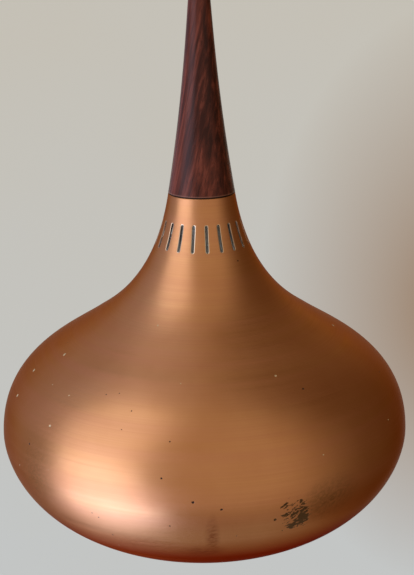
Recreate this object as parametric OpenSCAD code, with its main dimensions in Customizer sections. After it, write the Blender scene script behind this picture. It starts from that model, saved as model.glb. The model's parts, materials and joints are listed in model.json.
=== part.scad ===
// A hanging lamp: a spun copper shade under a turned wooden neck, with its suspension tube,
// screw lampholder and bulb. Millimetres, +Z up. The origin is the top of the cord entry,
// where the lamp hangs. A "drop" is a distance down from the joint between neck and shade.

/* [Shade] */
// Widest diameter of the shade
shade_d = 410; // [380:1:450]
// Height of the shade, from the neck joint to the rim
shade_h = 334; // [315:1:360]
// Thickness of the spun copper sheet
shade_t = 1; // [0.8:0.1:1.6]
// Drop to the turn of the flare, where it starts to curve back
waist_drop = 126; // [115:1:135]
// Diameter of the shade at that turn
waist_d = 228; // [210:1:240]
// Lean of the flare there, from the vertical
waist_lean = 56; // [50:1:60]
// Drop to the widest circle
bulge_drop = 241; // [230:1:250]
// Diameter of the open rim
rim_d = 268; // [250:1:290]
// Lean of the wall at the rim, from the vertical
rim_lean = 63; // [55:1:68]
// Radius of the rolled bead round the rim
bead_r = 1.6; // [1.4:0.1:2.2]

/* [Vent slots] */
// Number of slots round the shade's neck
slot_count = 20; // [12:1:24]
// Width of a slot
slot_w = 2.8; // [2:0.1:4]
// Drop to the top of the slots
slot_top_drop = 25; // [18:1:30]
// Height that a slot spans
slot_span = 25.5; // [16:0.5:32]
// Angle of the first slot from +X
slot_turn = 6; // [0:1:17]

/* [Wooden neck] */
// Diameter of the neck at the joint with the shade
neck_d = 66; // [60:1:72]
// Height of the neck
neck_h = 214; // [180:1:240]
// Diameter of the neck's tip
neck_tip_d = 17; // [16:0.5:22]
// Lean of the neck's side at the joint, from the vertical
neck_lean = 9.5; // [7:0.5:12]
// Shadow chamfer round the neck's foot
neck_chamfer = 0.8; // [0.4:0.1:1.5]
// Diameter of the spigot that centres the shade
spigot_d = 28; // [24:1:32]

/* [Cord entry and tube] */
// Diameter of the cord's bore
cord_bore_d = 7.5; // [6:0.1:7.6]
// Height of the cord gland
gland_h = 16; // [15:0.5:20]
// Length of the cord's bore
cord_bore_l = 10; // [9.5:0.1:11]
// Outside diameter of the suspension tube
tube_d = 9.9; // [9.4:0.1:10.4]
// Bore of the suspension tube
tube_bore_d = 8.2; // [8:0.1:8.4]
// Diameter of the grip screw
grip_screw_d = 4; // [3:0.5:4]

/* [Shade plate] */
// Diameter of the steel plate under the shade's flange
plate_d = 56; // [52:1:58]
// Thickness of that plate
plate_t = 4; // [3.5:0.5:6]
// Circle that the neck screws stand on
screw_circle_d = 42; // [40:1:44]
// Length of a neck screw under its head
screw_l = 18; // [12:1:24]
// Thickness of the toothed washer
washer_t = 1; // [0.6:0.1:1.6]
// Thickness of the lock nut
nut_t = 4; // [3:0.5:5]
// Width of the lock nut across its flats
nut_af = 14; // [13.5:0.5:16]

/* [Lampholder] */
// Outside diameter of the porcelain cap and skirt
holder_d = 41; // [40:0.5:46]
// Wall of the cap and skirt
holder_t = 2; // [1.6:0.1:2.4]
// Diameter of the cap's collar round the tube
collar_d = 17; // [16:0.5:19]
// Height of that collar
collar_h = 5; // [4.5:0.5:8]
// Height of the cap's dome
dome_h = 10; // [9:0.5:14]
// Height of the insert under its flange
insert_h = 10; // [9:0.5:14]
// Wall of the screw shell
shell_t = 0.5; // [0.4:0.1:0.8]
// Diameter of the sprung centre contact's stem
contact_d = 3.2; // [2.8:0.1:3.6]
// Thickness of the contact spring's wire
spring_wire_d = 0.4; // [0.3:0.05:0.5]
// Number of the spring's turns
spring_turns = 4; // [3:1:5]

/* [Bulb] */
// Diameter over the bulb cap's thread
thread_d = 26.3; // [26:0.05:26.5]
// Pitch of the thread
thread_pitch = 3.629; // [3.4:0.001:3.9]
// Depth of the thread
thread_depth = 0.9; // [0.6:0.05:1.1]
// Height of the threaded part of the bulb's cap
bulb_thread_h = 18; // [16:0.5:20]
// Widest diameter of the glass
bulb_d = 60; // [54:1:66]
// Length of the bulb over all
bulb_l = 105; // [100:1:115]
// Wall of the glass
glass_t = 0.8; // [0.6:0.1:1.2]
// Diameter of the filament's arc
filament_arc_d = 22; // [16:1:26]
// Thickness of the filament's coil
filament_d = 0.7; // [0.5:0.1:1]

/* [Hidden] */
$fn = 96;

// Clearances
slip = 0.1;        // a plain part in its hole
screw_fit = 0.05;  // a screw in its thread
loose = 0.3;       // round the tube, and between pieces that only lie side by side
over = 1;          // how far a cut runs past the face it opens

// Curves of the outline: how far each end pulls, as a share of the stretch's own length
flare_pull = [0.6, 0.15];
shoulder_pull = [0.29, 0.48];
belly_pull = [0.09, 0.62];
neck_pull = [0.49, 0.2];
flare_lean = neck_lean - 0.5;
neck_tip_lean = 5.3;

// Heights
washer_h = 0.8;                                  // the brass washer under the gland
brim_h = 1;                                      // the cap's straight side over the insert
insert_flange_h = 2;
spigot_l = 4;                                    // the skirt's top, which screws into the cap
contact_proud = 3.5;                             // the centre contact, under the insert
contact_gap = 0.2;                               // between it and the bulb's tip
bulb_tip_l = 5;                                  // from that tip to the thread
bulb_rim_h = 2.5;                                // the plain rim of the bulb's cap
skirt_proud = 1;                                 // the skirt, past the screw shell
tube_proud = 1.5;                                // the tube, inside the cap
joint_z = -(gland_h + washer_h + neck_h);
plate_drop = shade_t;
toothed_drop = plate_drop + plate_t;
nut_drop = toothed_drop + washer_t;
cap_drop = nut_drop + nut_t + loose;
dome_drop = cap_drop + collar_h;
brim_drop = dome_drop + dome_h;                  // where the cap's side turns straight
insert_drop = brim_drop + brim_h;
spigot_drop = insert_drop + insert_flange_h;
skirt_drop = spigot_drop + spigot_l;
shell_drop = spigot_drop + insert_h;
contact_drop = shell_drop + contact_proud;
bulb_drop = contact_drop + contact_gap;
bulb_thread_drop = bulb_drop + bulb_tip_l;
shell_foot_drop = bulb_thread_drop + bulb_thread_h - loose;
skirt_foot_drop = shell_foot_drop + skirt_proud;
bulb_cap_foot_drop = bulb_thread_drop + bulb_thread_h + bulb_rim_h;
tube_foot_drop = dome_drop + holder_t + tube_proud;

// Cord entry and neck
tube_r = tube_d / 2;
tube_hole_r = tube_r + loose;
tube_thread_r = tube_r + screw_fit;
cord_r = cord_bore_d / 2;
gland_step = 0.5;                                // the gland stands in from the neck's tip
gland_r = neck_tip_d / 2 - gland_step;
gland_round = 2.5;
grip_z = -5.5;                                   // height of the grip screw
grip_r = grip_screw_d / 2;
pad_l = 1.2;
screw_proud = 0.8;                               // how far the grip screw stands out
slot_cut_w = 0.8;                                // a screwdriver slot, across and deep
slot_cut_h = 0.8;

// Shade plate
flange_bore_r = spigot_d / 2 + slip;
screw_count = 3;
screw_r = 1.7;
screw_head = [3.2, 2];                           // radius and height
spare_depth = 1;                                 // below the tip of a screw
earth_turn = 60;                                 // the earth screw stands between two others
earth_r = 2;
earth_head = [3.6, 2.4];
tag_t = 0.8;
tag_w = 3;
tag_l = 9;

// Lampholder
holder_r = holder_d / 2;
cap_bore_r = holder_r - holder_t;
collar_r = collar_d / 2;
lock_screw_r = 1.5;
spigot_t = 1.6;                                  // wall of the skirt's top
insert_r = cap_bore_r - spigot_t;
lip_h = 1.6;
skirt_chamfer = 1;
block = [7, 5, 5];                               // a brass terminal block
block_x = 9;
block_sink = 2.5;                                // how deep it sits in the insert
terminal_screw_r = 1.3;
terminal_head = [2.1, 1.3];
strap_t = 0.5;
strap_w = 3;
contact_r = contact_d / 2;
guide_r = contact_r + 0.9;                       // the collar on the centre contact, in its bore
guide_h = 2.5;
guide_floor_t = 2.4;                             // what the insert keeps under that collar
guide_drop = shell_drop - guide_floor_t - slip - guide_h;
insert_screw_r = 1.25;
insert_screw_head = [2.1, 1.2];
insert_screw_y = 8.5;
eye_t = 1.4;                                     // what a strap or tag keeps round its screw

// Thread: a circle whose centre winds round the axis
thread_e = thread_depth / 2;
thread_r = thread_d / 2 - thread_e;
thread_play = 0.2;
thread_sides = 20;
thread_steps = 10;                               // rings in one turn
shell_thread_r = (thread_r + thread_play) / cos(180 / thread_sides);
shell_r = shell_thread_r + thread_e + shell_t;

// Bulb
bulb_cap_t = 0.4;
bulb_cap_bore_r = thread_r - thread_e - bulb_cap_t;
bulb_rim_r = thread_d / 2 + slip;
lip_gap = 2;                                     // round the bulb, in the skirt's mouth
lip_r = bulb_rim_r + lip_gap;
tip_h = 1.5;
tip_r = 4.6;
solder_bevel = [1.6, 0.8];
insulator_r = 9.5;
insulator_t = 1.2;
glass_neck_r = bulb_cap_bore_r - slip;
glass_neck_lean = 16;
glass_pull = [0.35, 0.35];
stem_top_l = 6;                                  // from the thread's top to the stem's flare
glass_top_drop = bulb_thread_drop + stem_top_l;
bulb_r = bulb_d / 2;
ball_drop = bulb_drop + bulb_l - bulb_r;
ball_start = 38;                                 // where the neck's curve runs into the ball
stem_r = 3.5;
stem_flare = [1.5, 8];                           // a point on the flare, past the stem's radius
stem_flare_l = 14;
press_rise = 16;                                 // the stem's foot over the ball's centre
press_drop = ball_drop - press_rise;
filament_rise = 2;
filament_drop = ball_drop - filament_rise;
wires_in = 0.6;                                  // where they leave the stem, as a share of its radius
filament_gap = 70;                               // open angle of the filament's arc
wire_r = 0.4;
support_r = 0.25;
support_count = 3;

// A point down the lamp's side, as [radius, drop], at its true height
function at(p) = [p[0], joint_z - p[1]];

// A direction in [radius, drop], leaning outwards from straight down
function leaning(angle) = [sin(angle), cos(angle)];

// A smooth stretch from a to b, leaving along from_dir and arriving along to_dir
function stretch(a, from_dir, b, to_dir, pull, steps) =
    let (chord = norm(b - a), p = a + pull[0] * chord * from_dir, q = b - pull[1] * chord * to_dir)
    [for (i = [0:steps]) let (t = i / steps, u = 1 - t)
        pow(u, 3) * a + 3 * u * u * t * p + 3 * u * t * t * q + pow(t, 3) * b];

// The same list without its first point, to follow another stretch
function after_first(points) = [for (i = [1:len(points) - 1]) points[i]];

function reversed(points) = [for (i = [len(points) - 1:-1:0]) points[i]];

// The outline moved inwards by t, square to itself
function inset(points, t) =
    let (last = len(points) - 1)
    [for (i = [0:last])
        let (along = points[min(i + 1, last)] - points[max(i - 1, 0)],
             square = [along[1], -along[0]] / norm(along))
        points[i] - t * square];

// The shade's outside, from the joint down to the rim
waist = [waist_d / 2, waist_drop];
bulge = [shade_d / 2, bulge_drop];
rim = [rim_d / 2, shade_h];
rim_dir = [-sin(rim_lean), cos(rim_lean)];
flare = stretch([neck_d / 2, 0], leaning(flare_lean), waist, leaning(waist_lean), flare_pull, 14);
shoulder = stretch(waist, leaning(waist_lean), bulge, leaning(0), shoulder_pull, 12);
belly = stretch(bulge, leaning(0), rim, rim_dir, belly_pull, 14);
shade_side = concat(flare, after_first(shoulder), after_first(belly));
radius_at_drop = [for (p = flare) [p[1], p[0]]];
ring_cut_drop = waist_drop + 24;                 // where its upper ring ends

// The neck's outside, from the joint up to the tip
neck_side = stretch([neck_d / 2, 0], [-sin(neck_lean), -cos(neck_lean)], [neck_tip_d / 2, -neck_h],
                    [-sin(neck_tip_lean), -cos(neck_tip_lean)], neck_pull, 16);

// A turned piece, from an outline of [radius, drop] points
module turned(points) {
    rotate_extrude() polygon([for (p = points) at(p)]);
}

// A plain turned ring or disc between two drops
module ring(r, from_drop, to_drop, bore = 0) {
    translate([0, 0, joint_z - to_drop])
        difference() {
            cylinder(r = r, h = to_drop - from_drop);
            if (bore > 0) translate([0, 0, -over]) cylinder(r = bore, h = to_drop - from_drop + 2 * over);
        }
}

// A screw that points up: its shank stands on z = 0, and its slotted head hangs below
module slotted_screw(r, l, head) {
    difference() {
        union() {
            cylinder(r = r, h = l);
            translate([0, 0, -head[1]]) cylinder(r = head[0], h = head[1]);
        }
        translate([-head[0] - over, -slot_cut_w / 2, -head[1] - over])
            cube([2 * (head[0] + over), slot_cut_w, slot_cut_h + over]);
    }
}

// A headless screw that points to -Z, with its slotted end at z = 0
module grub_screw(r, l) {
    difference() {
        translate([0, 0, -l]) cylinder(r = r, h = l);
        translate([-r - over, -slot_cut_w / 2, -slot_cut_h])
            cube([2 * (r + over), slot_cut_w, slot_cut_h + over]);
    }
}

// Places one thing at every neck screw
module at_neck_screws() {
    for (i = [0:screw_count - 1]) rotate([0, 0, i * 360 / screw_count])
        translate([screw_circle_d / 2, 0, joint_z]) children();
}

// Places one thing at the earth screw
module at_earth_screw() {
    rotate([0, 0, earth_turn]) translate([screw_circle_d / 2, 0, joint_z]) children();
}

module neck_cone() {
    spigot_foot = shade_t - slip;
    foot = [[spigot_d / 2, 0], [neck_d / 2 - neck_chamfer, 0], [neck_d / 2, -neck_chamfer]];
    side = [for (p = neck_side) if (p[1] < -neck_chamfer) p];
    color("#4a2018") difference() {
        turned(concat([[0, spigot_foot], [spigot_d / 2, spigot_foot]], foot, side, [[0, -neck_h]]));
        translate([0, 0, joint_z - spigot_foot - over])
            cylinder(r = tube_hole_r, h = neck_h + spigot_foot + 2 * over);
        at_neck_screws() translate([0, 0, -over]) cylinder(r = screw_r + screw_fit, h = screw_l + over);
    }
}

module cord_gland() {
    corner = [for (a = [0:15:90]) [gland_r - gland_round * (1 - cos(a)), -gland_round * (1 - sin(a))]];
    color("#b08a45") difference() {
        rotate_extrude() polygon(concat([[0, -gland_h], [gland_r, -gland_h]], corner, [[0, 0]]));
        translate([0, 0, -gland_h]) cylinder(r = cord_r, h = gland_h + over);
        translate([0, 0, -gland_h - over]) cylinder(r = tube_thread_r, h = gland_h - cord_bore_l + over);
        translate([0, 0, grip_z]) rotate([0, 90, 0]) cylinder(r = grip_r + screw_fit, h = gland_r + over);
    }
}

module neck_washer() {
    color("#c8a050") translate([0, 0, -gland_h - washer_h]) difference() {
        cylinder(r = neck_tip_d / 2, h = washer_h);
        translate([0, 0, -over]) cylinder(r = tube_hole_r, h = washer_h + 2 * over);
    }
}

module grip_pad() {
    color("#e8e4d8") translate([cord_r + slip, 0, grip_z]) rotate([0, 90, 0])
        cylinder(r = grip_r - slip, h = pad_l - slip);
}

module grip_screw() {
    color("#9a9a9a") translate([gland_r + screw_proud, 0, grip_z]) rotate([0, 90, 0])
        grub_screw(grip_r, gland_r + screw_proud - cord_r - pad_l);
}

module suspension_tube() {
    tube_l = tube_foot_drop - joint_z - cord_bore_l;
    color("#a8a8a8") translate([0, 0, joint_z - tube_foot_drop]) difference() {
        cylinder(r = tube_r, h = tube_l);
        translate([0, 0, -over]) cylinder(r = tube_bore_d / 2, h = tube_l + 2 * over);
    }
}

// One vent slot with round ends, square to the shade's side and reaching through it
module slot_cutter() {
    top_r = lookup(slot_top_drop, radius_at_drop);
    foot_r = lookup(slot_top_drop + slot_span, radius_at_drop);
    lean = atan2(foot_r - top_r, slot_span);
    run = slot_span / cos(lean) - slot_w;
    reach = 6;
    outline = [for (end = [-1, 1]) for (a = [0:22.5:180])
        slot_w / 2 * [end * sin(a), end * cos(a)] + [end * run / 2, 0]];
    translate([(top_r + foot_r) / 2, 0, joint_z - slot_top_drop - slot_span / 2])
        rotate([0, 90 - lean, 0]) translate([0, 0, -reach])
            linear_extrude(2 * reach) polygon(outline);
}

// The sheet is spun in one piece. It is built in three rings that meet edge to edge, so that
// each has simple collision pieces of its own round the hollow.
module shade_ring(from_drop, to_drop) {
    inside = inset(shade_side, shade_t);
    bead_centre = rim - bead_r * [cos(rim_lean), sin(rim_lean)];
    bead_turn = 360 - acos((bead_r - shade_t) / bead_r);
    bead = [for (a = [12:12:bead_turn]) bead_centre + bead_r * [cos(rim_lean + a), sin(rim_lean + a)]];
    wall = reversed([for (i = [1:len(inside) - 2]) inside[i]]);
    flange = [[inside[0][0], shade_t], [flange_bore_r, shade_t], [flange_bore_r, 0]];
    intersection() {
        turned(concat(shade_side, bead, wall, flange));
        ring(shade_d, from_drop, to_drop);
    }
}

module shade_flare() {
    color("#b86a3c") difference() {
        shade_ring(-over, ring_cut_drop);
        for (i = [0:slot_count - 1]) rotate([0, 0, slot_turn + i * 360 / slot_count]) slot_cutter();
        at_neck_screws() translate([0, 0, -shade_t - over])
            cylinder(r = screw_r + slip, h = shade_t + 2 * over);
    }
}

module shade_shoulder() {
    color("#b86a3c") shade_ring(ring_cut_drop, bulge_drop);
}

module shade_belly() {
    color("#b86a3c") shade_ring(bulge_drop, shade_h + over);
}

module shade_plate() {
    color("#8c8f94") difference() {
        ring(plate_d / 2, plate_drop, toothed_drop, tube_hole_r);
        at_neck_screws() translate([0, 0, -toothed_drop - over])
            cylinder(r = screw_r + slip, h = plate_t + 2 * over);
        at_earth_screw() translate([0, 0, -toothed_drop - over])
            cylinder(r = earth_r + screw_fit, h = plate_t + 2 * over);
    }
}

module neck_screws() {
    color("#b5a06a") at_neck_screws() translate([0, 0, -toothed_drop])
        slotted_screw(screw_r, screw_l + toothed_drop - spare_depth, screw_head);
}

module toothed_washer() {
    tooth_count = 12;
    tooth_gap = 1;
    inner = tube_r + 3;
    outer = inner + 2;
    color("#9aa0a6") difference() {
        ring(outer, toothed_drop, nut_drop, tube_hole_r);
        for (i = [0:tooth_count - 1]) rotate([0, 0, i * 360 / tooth_count])
            translate([inner, -tooth_gap / 2, joint_z - nut_drop - over])
                cube([outer, tooth_gap, washer_t + 2 * over]);
    }
}

module lock_nut() {
    color("#8f959b") translate([0, 0, joint_z - nut_drop - nut_t]) difference() {
        cylinder(d = nut_af / cos(30), h = nut_t, $fn = 6);
        translate([0, 0, -over]) cylinder(r = tube_thread_r, h = nut_t + 2 * over);
    }
}

module earth_screw() {
    color("#c9a44c") at_earth_screw() translate([0, 0, -toothed_drop - tag_t])
        slotted_screw(earth_r, plate_t + tag_t - slip, earth_head);
}

module earth_tag() {
    color("#c8c8c0") at_earth_screw() translate([0, 0, -toothed_drop - tag_t]) difference() {
        union() {
            cylinder(r = earth_r + eye_t, h = tag_t);
            translate([-tag_l, -tag_w / 2, 0]) cube([tag_l, tag_w, tag_t]);
        }
        translate([0, 0, -over]) cylinder(r = earth_r + slip, h = tag_t + 2 * over);
    }
}

module holder_cap() {
    dome = [for (a = [0:10:90])
        [collar_r + (holder_r - collar_r) * sin(a), brim_drop - dome_h * cos(a)]];
    hollow = [for (a = [0:10:90])
        [collar_r + (cap_bore_r - collar_r) * sin(a), brim_drop - (dome_h - holder_t) * cos(a)]];
    color("#e6e2d8") difference() {
        turned(concat([[0, cap_drop], [collar_r, cap_drop]], dome, [[holder_r, skirt_drop], [0, skirt_drop]]));
        turned(concat([[0, dome_drop + holder_t]], hollow, [[cap_bore_r, skirt_drop + over], [0, skirt_drop + over]]));
        translate([0, 0, joint_z - brim_drop]) cylinder(r = tube_thread_r, h = brim_drop);
        translate([0, 0, joint_z - cap_drop - collar_h / 2]) rotate([0, 90, 0])
            cylinder(r = lock_screw_r + screw_fit, h = collar_r + over);
    }
}

module cap_lock_screw() {
    color("#9a9a9a") translate([collar_r, 0, joint_z - cap_drop - collar_h / 2]) rotate([0, 90, 0])
        grub_screw(lock_screw_r, collar_r - tube_r - slip);
}

module holder_insert() {
    color("#f0ede4") difference() {
        union() {
            ring(cap_bore_r - loose, insert_drop, spigot_drop);
            ring(insert_r - slip, spigot_drop, shell_drop);
        }
        translate([0, 0, joint_z - guide_drop - guide_h - slip])
            cylinder(r = guide_r + screw_fit, h = insert_flange_h + insert_h);
        translate([0, 0, joint_z - shell_drop - over]) cylinder(r = contact_r + screw_fit, h = insert_h);
        at_blocks() translate([-block[0] / 2 - slip, -block[1] / 2 - slip, -block_sink])
            cube([block[0] + 2 * slip, block[1] + 2 * slip, block[2]]);
        at_insert_screws() translate([0, 0, -over])
            cylinder(r = insert_screw_r + screw_fit, h = insert_flange_h + insert_h + 2 * over);
    }
}

// Places one thing at both terminal blocks, at the height of the insert's top
module at_blocks() {
    for (side = [0, 180]) rotate([0, 0, side]) translate([block_x, 0, joint_z - insert_drop]) children();
}

// Places one thing at both insert screws, at the height of the insert's foot
module at_insert_screws() {
    for (side = [-1, 1]) translate([0, side * insert_screw_y, joint_z - shell_drop]) children();
}

module terminal_blocks() {
    color("#c9a44c") at_blocks() difference() {
        translate([-block[0] / 2, -block[1] / 2, -block_sink]) cube(block);
        cylinder(r = terminal_screw_r + screw_fit, h = block[2]);
    }
}

module terminal_screws() {
    top = block[2] - block_sink;
    color("#d8d4c8") at_blocks() translate([0, 0, top]) rotate([180, 0, 0])
        slotted_screw(terminal_screw_r, top - slip, terminal_head);
}

module contact_strap() {
    arm_l = block_x - block[0] / 2 - slip;
    color("#c08a50") translate([0, 0, joint_z - insert_drop]) union() {
        cylinder(r = guide_r + eye_t, h = strap_t);
        translate([0, -strap_w / 2, 0]) cube([arm_l, strap_w, strap_t]);
    }
}

module shell_strap() {
    reach = block_x + strap_w / 2;
    foot_y = block[1] / 2 + slip;
    color("#c08a50") translate([0, 0, joint_z - insert_drop]) difference() {
        union() {
            translate([0, insert_screw_y, 0]) cylinder(r = insert_screw_r + eye_t, h = strap_t);
            translate([-reach, insert_screw_y - strap_w / 2, 0]) cube([reach, strap_w, strap_t]);
            translate([-reach, foot_y, 0]) cube([strap_w, insert_screw_y - foot_y, strap_t]);
        }
        translate([0, insert_screw_y, -over])
            cylinder(r = insert_screw_r + screw_fit, h = strap_t + 2 * over);
    }
}

module centre_contact() {
    tip = [for (a = [0:15:90]) [contact_r * cos(a), contact_drop - contact_r * (1 - sin(a))]];
    color("#c9a44c") turned(concat(
        [[0, guide_drop], [guide_r, guide_drop], [guide_r, guide_drop + guide_h],
         [contact_r, guide_drop + guide_h]], tip));
}

// A round wire wound round the axis, with six sides, as one closed solid
module coil(r, wire, height, turns) {
    turn_steps = 14;
    sides = 6;
    rings = turns * turn_steps;
    points = [for (k = [0:rings]) for (j = [0:sides - 1])
        let (turn = 360 * k / turn_steps, a = 360 * j / sides, out = r + wire * cos(a))
        [out * cos(turn), out * sin(turn), height * k / rings + wire * sin(a)]];
    side_faces = [for (k = [0:rings - 1]) for (j = [0:sides - 1])
        let (a = k * sides + j, b = k * sides + (j + 1) % sides)
        for (face = [[a, a + sides, b + sides], [a, b + sides, b]]) face];
    first = [for (j = [0:sides - 1]) j];
    last = [for (j = [sides - 1:-1:0]) rings * sides + j];
    polyhedron(points, concat(side_faces, [first, last]));
}

module contact_spring() {
    wire = spring_wire_d / 2;
    foot_drop = guide_drop - wire - slip;
    head_drop = insert_drop + wire + slip;
    color("#9aa0a6") translate([0, 0, joint_z - foot_drop])
        coil(guide_r - wire - slip, wire, foot_drop - head_drop, spring_turns);
}

module insert_screws() {
    color("#c9a44c") at_insert_screws() translate([0, 0, -shell_t])
        slotted_screw(insert_screw_r, shell_t + insert_h + insert_flange_h, insert_screw_head);
}

// A solid with a screw thread: a circle of radius r whose centre winds round the axis
module thread_body(r, from_drop, to_drop) {
    low = joint_z - to_drop;
    high = joint_z - from_drop;
    rings = ceil((high - low) / thread_pitch * thread_steps);
    points = [for (k = [0:rings]) for (j = [0:thread_sides - 1])
        let (z = low + (high - low) * k / rings, wind = 360 * z / thread_pitch, a = 360 * j / thread_sides)
        [r * cos(a) + thread_e * cos(wind), r * sin(a) + thread_e * sin(wind), z]];
    side_faces = [for (k = [0:rings - 1]) for (j = [0:thread_sides - 1])
        let (a = k * thread_sides + j, b = k * thread_sides + (j + 1) % thread_sides)
        for (face = [[a, a + thread_sides, b + thread_sides], [a, b + thread_sides, b]]) face];
    bottom = [for (j = [0:thread_sides - 1]) j];
    top = [for (j = [thread_sides - 1:-1:0]) rings * thread_sides + j];
    polyhedron(points, concat(side_faces, [bottom, top]));
}

module thread_shell() {
    color("#b98f4a") difference() {
        ring(shell_r, shell_drop, shell_foot_drop);
        thread_body(shell_thread_r, shell_drop + shell_t, shell_foot_drop + over);
        translate([0, 0, joint_z - shell_foot_drop]) cylinder(r = contact_r + loose, h = shell_foot_drop);
        at_insert_screws() translate([0, 0, -shell_t - over])
            cylinder(r = insert_screw_r + slip, h = shell_t + 2 * over);
    }
}

module holder_skirt() {
    inside_foot = skirt_foot_drop - lip_h;
    color("#e6e2d8") turned([
        [insert_r, spigot_drop], [cap_bore_r - screw_fit, spigot_drop], [cap_bore_r - screw_fit, skirt_drop],
        [holder_r, skirt_drop], [holder_r, skirt_foot_drop - skirt_chamfer],
        [holder_r - skirt_chamfer, skirt_foot_drop],
        [lip_r, skirt_foot_drop], [lip_r, inside_foot], [cap_bore_r, inside_foot],
        [cap_bore_r, shell_drop], [insert_r, shell_drop]]);
}

module bulb_cap() {
    thread_foot = bulb_thread_drop + bulb_thread_h;
    color("#c4c6c8") difference() {
        union() {
            thread_body(thread_r, bulb_thread_drop, thread_foot);
            ring(bulb_rim_r, thread_foot, bulb_cap_foot_drop);
        }
        ring(bulb_cap_bore_r, bulb_thread_drop + bulb_cap_t, bulb_cap_foot_drop + over);
        ring(insulator_r + slip, bulb_thread_drop - over, bulb_cap_foot_drop);
    }
}

module bulb_insulator() {
    cone_top = bulb_drop + tip_h;
    seat = bulb_thread_drop + bulb_cap_t;
    rim_r = bulb_cap_bore_r - loose;
    color("#1c1c20") turned([
        [0, cone_top], [tip_r, cone_top], [insulator_r, bulb_thread_drop - bulb_cap_t],
        [insulator_r, seat + slip], [rim_r, seat + slip], [rim_r, seat + insulator_t],
        [0, seat + insulator_t]]);
}

module bulb_contact() {
    color("#a9adb0") turned([
        [0, bulb_drop], [tip_r - solder_bevel[0], bulb_drop], [tip_r, bulb_drop + solder_bevel[1]],
        [tip_r, bulb_drop + tip_h - slip],
        [0, bulb_drop + tip_h - slip]]);
}

// The glass from inside its cap to its foot, with the wall moved in by t
function glass_side(t) =
    let (neck_start = [glass_neck_r, bulb_cap_foot_drop + slip],
         ball_point = [bulb_r * cos(ball_start), ball_drop - bulb_r * sin(ball_start)],
         neck = stretch(neck_start, leaning(glass_neck_lean), ball_point, leaning(ball_start), glass_pull, 8),
         ball = [for (a = [ball_start - 8:-8:-88])
             [(bulb_r - t) * cos(a), ball_drop - (bulb_r - t) * sin(a)]])
    concat([[glass_neck_r - t, glass_top_drop]], inset(neck, t), ball, [[0, ball_drop + bulb_r - t]]);

module bulb_glass() {
    color("#e8eef2", 0.35) turned(concat(glass_side(0), reversed(glass_side(glass_t))));
}

module bulb_stem() {
    flare_r = glass_neck_r - glass_t - slip;
    color("#dfe8ea", 0.6) turned([
        [0, glass_top_drop], [flare_r, glass_top_drop], [flare_r, glass_top_drop + glass_t],
        [stem_r + stem_flare[0], glass_top_drop + stem_flare[1]],
        [stem_r, glass_top_drop + stem_flare_l], [stem_r, press_drop], [0, press_drop]]);
}

// A straight round wire between two points
module wire(from, to, r) {
    run = to - from;
    translate(from) rotate([0, acos(run[2] / norm(run)), atan2(run[1], run[0])])
        cylinder(r = r, h = norm(run), $fn = 16);
}

// A point on the filament's arc
function on_filament(angle, drop) =
    [filament_arc_d / 2 * cos(angle), filament_arc_d / 2 * sin(angle), joint_z - drop];

module bulb_leads() {
    reach = filament_drop - filament_d / 2 - wire_r - slip;
    color("#a9adb0") for (side = [-1, 1])
        wire([side * stem_r * wires_in, 0, joint_z - press_drop - slip],
             on_filament(side * filament_gap / 2 - 90, reach), wire_r);
}

module bulb_supports() {
    reach = filament_drop - filament_d / 2 - support_r - slip;
    color("#8f9498") for (i = [1:support_count])
        let (angle = i * 180 / (support_count + 1))
        wire([stem_r * wires_in * cos(angle), stem_r * wires_in * sin(angle), joint_z - press_drop - slip],
             on_filament(angle, reach), support_r);
}

module bulb_filament() {
    color("#6a6460") translate([0, 0, joint_z - filament_drop]) rotate([0, 0, filament_gap / 2 - 90])
        rotate_extrude(angle = 360 - filament_gap) translate([filament_arc_d / 2, 0])
            circle(r = filament_d / 2, $fn = 24);
}

neck_cone();
cord_gland();
neck_washer();
grip_pad();
grip_screw();
suspension_tube();
shade_flare();
shade_shoulder();
shade_belly();
shade_plate();
neck_screws();
toothed_washer();
lock_nut();
earth_screw();
earth_tag();
holder_cap();
cap_lock_screw();
holder_insert();
terminal_blocks();
terminal_screws();
contact_strap();
shell_strap();
centre_contact();
contact_spring();
insert_screws();
thread_shell();
holder_skirt();
bulb_cap();
bulb_insulator();
bulb_contact();
bulb_glass();
bulb_stem();
bulb_leads();
bulb_supports();
bulb_filament();
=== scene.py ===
import json
from math import asin, atan2, cos, hypot, pi, radians, sin, sqrt

import bmesh
import bpy
from mathutils import Matrix, Vector
from mathutils.bvhtree import BVHTree
from mathutils.geometry import interpolate_bezier


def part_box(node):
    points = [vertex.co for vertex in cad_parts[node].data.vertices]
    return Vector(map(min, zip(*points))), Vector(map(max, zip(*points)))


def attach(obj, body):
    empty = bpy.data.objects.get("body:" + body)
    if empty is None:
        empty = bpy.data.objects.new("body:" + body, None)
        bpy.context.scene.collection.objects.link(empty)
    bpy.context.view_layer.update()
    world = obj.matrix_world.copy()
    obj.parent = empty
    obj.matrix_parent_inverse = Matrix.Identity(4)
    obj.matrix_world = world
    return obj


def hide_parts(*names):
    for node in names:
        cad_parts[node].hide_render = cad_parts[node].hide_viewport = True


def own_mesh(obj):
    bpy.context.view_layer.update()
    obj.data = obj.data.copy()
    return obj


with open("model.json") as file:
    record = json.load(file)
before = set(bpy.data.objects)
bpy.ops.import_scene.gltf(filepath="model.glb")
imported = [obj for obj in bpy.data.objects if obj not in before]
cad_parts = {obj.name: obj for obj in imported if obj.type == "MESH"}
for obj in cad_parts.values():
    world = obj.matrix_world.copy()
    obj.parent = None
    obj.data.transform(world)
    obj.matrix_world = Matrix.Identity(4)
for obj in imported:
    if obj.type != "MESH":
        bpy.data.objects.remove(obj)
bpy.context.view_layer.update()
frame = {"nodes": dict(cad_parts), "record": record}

mm = 0.001
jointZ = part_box("shade_flare")[1].z        # the shade's top, where the neck stands on it


# how far down from that joint a place lies, in millimetres, as its height in metres
def height(drop):
    return jointZ - drop * mm


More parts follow.
